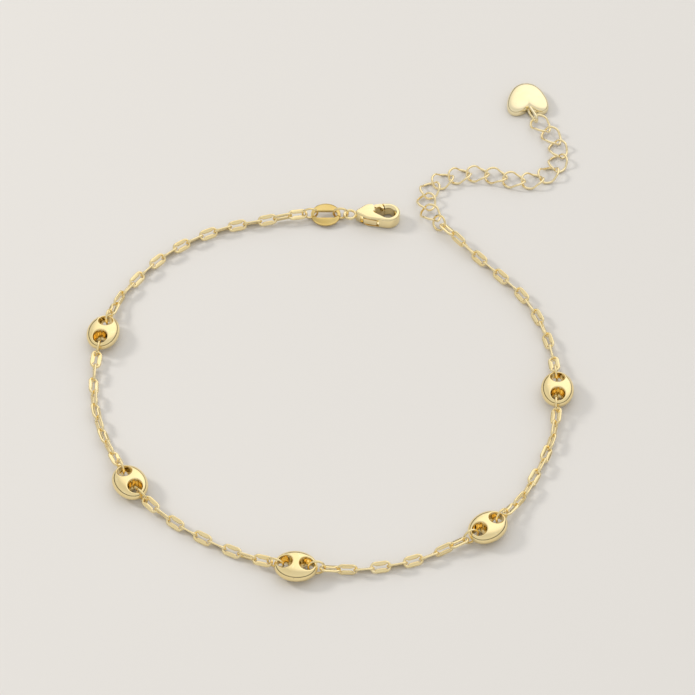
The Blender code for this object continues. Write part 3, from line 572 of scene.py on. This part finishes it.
def rod_mesh(name, circles, height, steps, foot=0.0, head=0.0):
    """An upright rod around the circles, wider by foot below and by head above."""
    shape = bmesh.new()
    for x, y, radius in circles:
        bmesh.ops.create_cone(
            shape, cap_ends=True, segments=steps, radius1=radius + foot, radius2=radius + head, depth=height,
            matrix=Matrix.Translation((x, y, 0.0)))
    if len(circles) > 1:
        hull = bmesh.ops.convex_hull(shape, input=shape.verts)
        loose = [item for item in hull["geom_interior"] + hull["geom_unused"]
                 if isinstance(item, bmesh.types.BMVert)]
        bmesh.ops.delete(shape, geom=loose, context="VERTS")
        bmesh.ops.dissolve_limit(shape, angle_limit=math.radians(1), verts=shape.verts, edges=shape.edges)
    mesh = bpy.data.meshes.new(name)
    shape.to_mesh(mesh)
    shape.free()
    return mesh


def temporary(name, mesh, place=None):
    """An object for a Boolean step, removed again by baked."""
    piece = bpy.data.objects.new(name, mesh)
    bpy.context.scene.collection.objects.link(piece)
    if place is not None:
        piece.matrix_world = place
    return piece


def combine(piece, cutter, operation):
    step = piece.modifiers.new("step", "BOOLEAN")
    step.operation = operation
    step.solver = "EXACT"
    step.object = cutter


def soften(piece, width, segments, angle):
    step = piece.modifiers.new("edges", "BEVEL")
    step.width = width
    step.segments = segments
    step.limit_method = "ANGLE"
    step.angle_limit = math.radians(angle)
    step.harden_normals = False


def baked(piece):
    """The piece's mesh after its steps; the piece and its cutters are removed."""
    bpy.context.view_layer.update()
    graph = bpy.context.evaluated_depsgraph_get()
    mesh = bpy.data.meshes.new_from_object(piece.evaluated_get(graph))
    extra = [step.object for step in piece.modifiers if step.type == "BOOLEAN"]
    for item in extra + [piece]:
        bpy.data.objects.remove(item, do_unlink=True)
    return mesh


def clasp_circle(x, y, radius):
    return x * CLASP_LENGTH, y * CLASP_WIDTH, radius * CLASP_WIDTH


def lever_reach():
    """From the pin to the tip of the lever's arm."""
    x, y, radius = clasp_circle(*LEVER_ARM[1])
    return math.hypot(x - CLASP_PIN[0] * CLASP_LENGTH, y - CLASP_PIN[1] * CLASP_WIDTH) + radius


def clasp_body_mesh():
    """Cheeks, hook, tail eyelet and pin, lying along +X; also the eyelet's and the pin's places."""
    hook_x = CLASP_LENGTH - CLASP_WIDTH / 2
    hook_y = CLASP_HOOK_RISE * CLASP_WIDTH
    outline = [clasp_circle(*CLASP_TAIL), clasp_circle(*CLASP_CHEEKS), (hook_x, hook_y, CLASP_WIDTH / 2)]
    body = temporary("clasp", rod_mesh("clasp", outline, CLASP_THICKNESS, OUTLINE_STEPS))
    soften(body, CLASP_EDGE, OUTER_EDGE_SEGMENTS, OUTER_EDGE_ANGLE)
    through = CLASP_THICKNESS * 2
    mouth = [(hook_x, hook_y, CLASP_WIDTH / 2 - CLASP_HOOK_WALL), clasp_circle(*CLASP_MOUTH_POINT)]
    combine(body, temporary("mouth", rod_mesh("mouth", mouth, through, MOUTH_STEPS)), "DIFFERENCE")
    for name, foot, head, side in (("flare_up", 0.0, CLASP_FLARE, 1), ("flare_down", CLASP_FLARE, 0.0, -1)):
        flare = rod_mesh(name, mouth, CLASP_FLARE, MOUTH_STEPS, foot, head)
        at = Matrix.Translation((0, 0, side * (CLASP_THICKNESS / 2 - CLASP_FLARE * CLASP_FLARE_SEAT)))
        combine(body, temporary(name, flare, at), "DIFFERENCE")
    pin_x, pin_y = CLASP_PIN[0] * CLASP_LENGTH, CLASP_PIN[1] * CLASP_WIDTH
    gate = [(pin_x, pin_y, lever_reach() + CLEARANCE)]
    gate = temporary("gate", rod_mesh("gate", gate, through, MOUTH_STEPS))
    side = rod_mesh("gate_side", [clasp_circle(*row) for row in CLASP_GATE], through * 2, CORNER_STEPS)
    combine(gate, temporary("gate_side", side), "INTERSECT")
    combine(body, temporary("gate_cut", baked(gate)), "DIFFERENCE")
    slot = bmesh.new()
    low = (CLASP_TAIL_BLOCK, -CLASP_WIDTH, -CLASP_SLOT / 2)
    high = (CLASP_SLOT_END * CLASP_LENGTH, CLASP_WIDTH, CLASP_SLOT / 2)
    size = [b - a for a, b in zip(low, high)]
    middle = [(a + b) / 2 for a, b in zip(low, high)]
    bmesh.ops.create_cube(slot, size=1.0, matrix=Matrix.Translation(middle) @ Matrix.Diagonal((*size, 1.0)))
    mesh = bpy.data.meshes.new("slot")
    slot.to_mesh(mesh)
    slot.free()
    combine(body, temporary("slot", mesh), "DIFFERENCE")
    soften(body, CAST_ROUNDING, CUT_EDGE_SEGMENTS, CUT_EDGE_ANGLE)
    cast = baked(body)

    tail_x = CLASP_TAIL[0] * CLASP_LENGTH - CLASP_TAIL[2] * CLASP_WIDTH
    eyelet_x = tail_x - CLASP_EYELET_DIAMETER / 2 + CLASP_EYELET_WIRE / 2
    radius = CLASP_EYELET_DIAMETER / 2 - CLASP_EYELET_WIRE / 2
    shape = bmesh.new()
    shape.from_mesh(cast)
    at = Matrix.Translation((eyelet_x, 0, 0))
    oval_wire(shape, radius, radius, CLASP_EYELET_WIRE, at, sides=EYELET_SIDES)
    pin = rod_mesh("pin", [(pin_x, pin_y, PIN_RADIUS)], CLASP_THICKNESS - CLASP_EDGE / 2, PIN_STEPS)
    shape.from_mesh(pin)
    return shape, eyelet_x, Vector((pin_x, pin_y, 0.0))


def clasp_lever_shape(pin):
    """Hub on the pin, thumb tab on one side, arm with its foot on the other."""
    hub = (pin.x, pin.y, LEVER_HUB_RADIUS * CLASP_WIDTH)
    arm = [clasp_circle(*row) for row in LEVER_ARM]
    root = clasp_circle(*LEVER_ARM_ROOT)
    tab = [clasp_circle(*row) for row in LEVER_TAB]
    lever = temporary("lever", rod_mesh("lever", [hub], LEVER_THICKNESS, HUB_STEPS))
    for name, circles, height in (
        ("neck", [root, arm[0]], LEVER_THICKNESS),
        ("tab", tab, LEVER_THICKNESS),
        ("arm", arm, LEVER_ARM_THICKNESS),
        ("foot", [arm[1], clasp_circle(*LEVER_FOOT)], LEVER_ARM_THICKNESS),
    ):
        combine(lever, temporary(name, rod_mesh(name, circles, height, PIN_STEPS)), "UNION")
    bore = rod_mesh("bore", [(pin.x, pin.y, PIN_RADIUS + PIN_CLEARANCE)], CLASP_THICKNESS, PIN_STEPS)
    combine(lever, temporary("bore", bore), "DIFFERENCE")
    soften(lever, LEVER_ROUNDING, CUT_EDGE_SEGMENTS, CUT_EDGE_ANGLE)
    shape = bmesh.new()
    shape.from_mesh(baked(lever))
    return shape


# Place everything along the route

LINE = Route(ROUTE)
clasp, eyelet_x, pin = clasp_body_mesh()
CLASP_RING_S = CLASP_LENGTH - eyelet_x + (CLASP_EYELET_DIAMETER - CLASP_EYELET_WIRE) / 2 + CLASP_RING_REACH
TAG_S = CLASP_RING_S + TAG_LENGTH / 2
TAG_RING_S = TAG_S + TAG_LENGTH / 2 + TAG_RING_REACH
FIRSTS, BEADS, s = [], [], TAG_RING_S + RING_TO_LINK
for i, (_, count, _, _, before, after, drawn) in enumerate(STRETCHES):
    if i > 0:
        s += BEAD_TO_LINK + before * MM
    FIRSTS.append(s)
    s += (count - 1) * (LINK_PITCH + drawn * MM)
    if i < len(STRETCHES) - 1:
        s += BEAD_TO_LINK + after * MM
        BEADS.append(s)
JOINING = s + RING_TO_LINK
FIRST_CURB = JOINING + RING_TO_CURB
LAST_CURB = FIRST_CURB + (CURB_COUNT - 1) * CURB_PITCH

# The head of the anklet is placed on the plain route, the rest on the route with its rises
head_clasp = LINE.frame(CLASP_LENGTH * 0.5, level=True)
head_ring = LINE.frame(CLASP_RING_S, 90.0, level=True)
head_tag = LINE.frame(TAG_S, -TAG_LEAN, level=True)
head_tag_ring = LINE.frame(TAG_RING_S, STRETCHES[0][3] * JUMP_RING_LEANS[0], level=True)
LINE.lifts = [(s, BEAD_THICKNESS / 2 - CHAIN_HEIGHT) for s in BEADS]
LINE.lifts += [(TAG_RING_S, RING_LIFT), (JOINING, RING_LIFT)]
LINE.settles = [
    (JOINING, CURB_HEIGHT - CHAIN_HEIGHT),
    (LAST_CURB + CURB_RADIUS - SETTLE_REACH, EYELET_HEIGHT / 2 - CURB_HEIGHT),
]

# The first bead's solid tells how far the whole route is moved
first_bead = LINE.frame(BEADS[0], level=True)
low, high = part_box("bead_1")
OFFSET = Matrix.Translation((low + high) / 2 - first_bead.translation)

turn = math.atan2(-head_clasp[1][0], -head_clasp[0][0]) + math.radians(CLASP_HEADING_OFFSET)
spot = LINE.flat(CLASP_LENGTH)
at_clasp = Matrix.Translation((spot[0], spot[1], CLASP_THICKNESS / 2)) @ Matrix.Rotation(turn, 4, "Z")
clasp.transform(OFFSET @ at_clasp)
finished("clasp_casting", clasp, "clasp_gold", stands_for="clasp_body", sharp=CLASP_SHARP_ANGLE)
lever = clasp_lever_shape(pin)
lever.transform(OFFSET @ at_clasp)
finished("lever_arm", lever, "lever_gold", "lever", "clasp_lever", sharp=CLASP_SHARP_ANGLE)

head_ring.translation.z = CLASP_RING_DIAMETER / 2
jump_ring("clasp_jump_ring", OFFSET @ head_ring, CLASP_RING_RADIUS, CLASP_RING_WIRE, "clasp_ring")
head_tag.translation.z = TAG_HEIGHT
finished("slotted_tag", tag_shape(OFFSET @ head_tag), "tag_gold", stands_for="tag")
head_tag_ring.translation.z = JUMP_RING_DIAMETER / 2
jump_ring("tag_jump_ring", OFFSET @ head_tag_ring, JUMP_RING_RADIUS, JUMP_RING_WIRE, "tag_ring")

LINK = link_stations()
for first, (name, count, flat_first, side, _, _, drawn) in zip(FIRSTS, STRETCHES):
    shape = bmesh.new()
    pitch = LINK_PITCH + drawn * MM
    for i in range(count):
        flat = (i % 2 == 0) == flat_first
        lean = side * (LINK_LEANS[0 if flat else 1] + roll_at(i, count, flat_first))
        place = OFFSET @ LINE.frame(first + i * pitch, lean)
        swept(shape, [[place @ p for p in ring] for ring in LINK])
    bmesh.ops.recalc_face_normals(shape, faces=shape.faces)
    finished(name + "_links", shape, "chain_gold", stands_for=name, sharp=LINK_SHARP_ANGLE)

for i, s in enumerate(BEADS):
    name = f"bead_{i + 1}"
    finished(name + "_puffed", bead_shape(OFFSET @ LINE.frame(s, level=True)), "bead_gold", stands_for=name)
    _, count, flat_first, side_in, _, gap_in, _ = STRETCHES[i]
    _, _, flat_out, side_out, gap_out, _, _ = STRETCHES[i + 1]
    for label, way, flat, side, gap in (
        ("in", -1, last_is_flat(count, flat_first), side_in, gap_in),
        ("out", 1, flat_out, side_out, gap_out),
    ):
        lean = side * JUMP_RING_LEANS[0 if flat else 1]
        place = LINE.frame(s + way * (BEAD_TO_LINK - RING_TO_LINK + gap * MM), lean, level=True)
        place.translation.z = BEAD_THICKNESS / 2
        ring = f"{name}_jump_ring_{label}"
        jump_ring(ring, OFFSET @ place, JUMP_RING_RADIUS, JUMP_RING_WIRE, f"{name}_ring_{label}")

place = LINE.frame(JOINING, STRETCHES[-1][3] * JOINING_RING_LEAN, level=True)
place.translation.z = JUMP_RING_RADIUS * math.sin(math.radians(JOINING_RING_LEAN)) + JUMP_RING_WIRE / 2
jump_ring("extender_jump_ring", OFFSET @ place, JUMP_RING_RADIUS, JUMP_RING_WIRE, "extender_joining_ring")


def curb_lift(turn):
    """Height of a twisted ring's wire: up at two corners and down at the other two."""
    steepness = CURB_STEEPNESS * CURB_SNAP
    return -CURB_TWIST * math.tanh(steepness * math.sin(2 * turn)) / math.tanh(steepness)


for i in range(CURB_COUNT):
    shape = bmesh.new()
    place = OFFSET @ LINE.frame(FIRST_CURB + i * CURB_PITCH)
    half_width = CURB_WIDTH / 2 - CURB_WIRE / 2
    oval_wire(shape, CURB_RADIUS, half_width, CURB_WIRE, place, CURB_STEPS, lift=curb_lift)
    bmesh.ops.recalc_face_normals(shape, faces=shape.faces)
    finished(f"extender_curb_{i + 1:02d}", shape, "extender_gold", stands_for=f"extender_ring_{i + 1:02d}")

eyelet_s = LAST_CURB + CURB_RADIUS + (EYELET_LENGTH - EYELET_HEIGHT) / 2
turn = Matrix.Rotation(math.radians(HEART_HEADING - 90), 4, "Z")
_, middle = heart_shape(Matrix.Identity(4))
x, y = LINE.flat(eyelet_s)
offset = turn @ middle
at_heart = OFFSET @ Matrix.Translation((x - offset.x, y - offset.y, 0.0)) @ turn
shape, _ = heart_shape(at_heart)
bmesh.ops.recalc_face_normals(shape, faces=shape.faces)
finished("puffed_heart", shape, "heart_gold", stands_for="heart_drop")


# Floor, light and camera

FLOOR_SIZE = 4.0
FLOOR_DEEP, FLOOR_LIGHT = (0.712, 0.694, 0.668), (0.734, 0.718, 0.695)
SKY_COLOUR = (1.0, 0.985, 0.962, 1.0)
SKY_LEVELS = (  # height of the direction as a share of straight up, strength of the light from there
    (0.0, 0.30), (0.02, 0.02), (0.12, 0.03), (0.18, 0.54), (0.32, 0.80), (1.0, 0.71),
)
SKY_GLOW_FROM, SKY_GLOW_EDGE, SKY_GLOW = (0.35, 0.60, 0.70), 0.5, 0.50   # the edge is a cosine
KEY_PLACE, KEY_SIZE, KEY_POWER, KEY_COLOUR = (-0.89, 0.353, 0.621), 0.24, 4.8, (1.0, 0.97, 0.92)
SENSOR_WIDTH, PICTURE_PIXELS, FOCAL_PIXELS = 36.0, 695, 3083
ELEVATION, DISTANCE = math.radians(50), 0.540
AIM = OFFSET.translation.copy()


def floor_finish():
    """Pale plaster with a faint, slow change of tone."""
    finish = bpy.data.materials.new("pale_floor")
    finish.use_nodes = True
    tree = finish.node_tree
    shader = tree.nodes["Principled BSDF"]
    shader.inputs["Roughness"].default_value = FLOOR_ROUGHNESS
    place = tree.nodes.new("ShaderNodeTexCoord").outputs["Object"]
    tint = ramp(tree, noise(tree, place, GRAIN_SCALE, 6.0), ((0.0, FLOOR_DEEP), (1.0, FLOOR_LIGHT)))
    tree.links.new(tint, shader.inputs["Base Color"])
    return finish


def studio_sky():
    """Soft light from all around: dark just over the horizon, bright above, with one broad glow."""
    world = bpy.data.worlds.new("studio")
    world.use_nodes = True
    tree = world.node_tree
    sky = tree.nodes["Background"]
    sky.inputs["Color"].default_value = SKY_COLOUR
    heading = tree.nodes.new("ShaderNodeTexCoord").outputs["Generated"]
    aim = tree.nodes.new("ShaderNodeVectorMath")
    aim.operation = "DOT_PRODUCT"
    aim.inputs[1].default_value = Vector(SKY_GLOW_FROM).normalized()
    glow = tree.nodes.new("ShaderNodeMapRange")
    glow.interpolation_type = "SMOOTHSTEP"
    glow.inputs["From Min"].default_value = SKY_GLOW_EDGE
    glow.inputs["From Max"].default_value = 1.0
    glow.inputs["To Max"].default_value = SKY_GLOW
    split = tree.nodes.new("ShaderNodeSeparateXYZ")
    total = tree.nodes.new("ShaderNodeMath")
    total.operation = "ADD"
    tree.links.new(heading, aim.inputs[0])
    tree.links.new(heading, split.inputs[0])
    tree.links.new(aim.outputs["Value"], glow.inputs["Value"])
    tree.links.new(glow.outputs["Result"], total.inputs[0])
    levels = ramp(tree, split.outputs["Z"], [(position, (level,) * 3) for position, level in SKY_LEVELS])
    tree.links.new(levels, total.inputs[1])
    tree.links.new(total.outputs["Value"], sky.inputs["Strength"])
    return world


bpy.ops.mesh.primitive_plane_add(size=FLOOR_SIZE, location=(0, 0, 0))
floor = bpy.context.object
floor.name = "floor"
floor.data.materials.append(floor_finish())

bpy.context.scene.world = studio_sky()

light = bpy.data.lights.new("key", "AREA")
light.shape = "DISK"
light.energy = KEY_POWER
light.size = KEY_SIZE
light.color = KEY_COLOUR
lamp = bpy.data.objects.new("key", light)
bpy.context.scene.collection.objects.link(lamp)
lamp.location = AIM + Vector(KEY_PLACE)
lamp.rotation_euler = (AIM - lamp.location).to_track_quat("-Z", "Y").to_euler()
lamp.visible_glossy = False

camera_data = bpy.data.cameras.new("camera")
camera_data.sensor_width = SENSOR_WIDTH
camera_data.lens = FOCAL_PIXELS * SENSOR_WIDTH / PICTURE_PIXELS
camera_data.clip_end = 10.0
camera = bpy.data.objects.new("camera", camera_data)
bpy.context.scene.collection.objects.link(camera)
camera.location = AIM + Vector((0, -DISTANCE * math.cos(ELEVATION), DISTANCE * math.sin(ELEVATION)))
camera.rotation_euler = (math.radians(90) - ELEVATION, 0, 0)
bpy.context.scene.camera = camera
bpy.context.scene.view_settings.view_transform = "Standard"
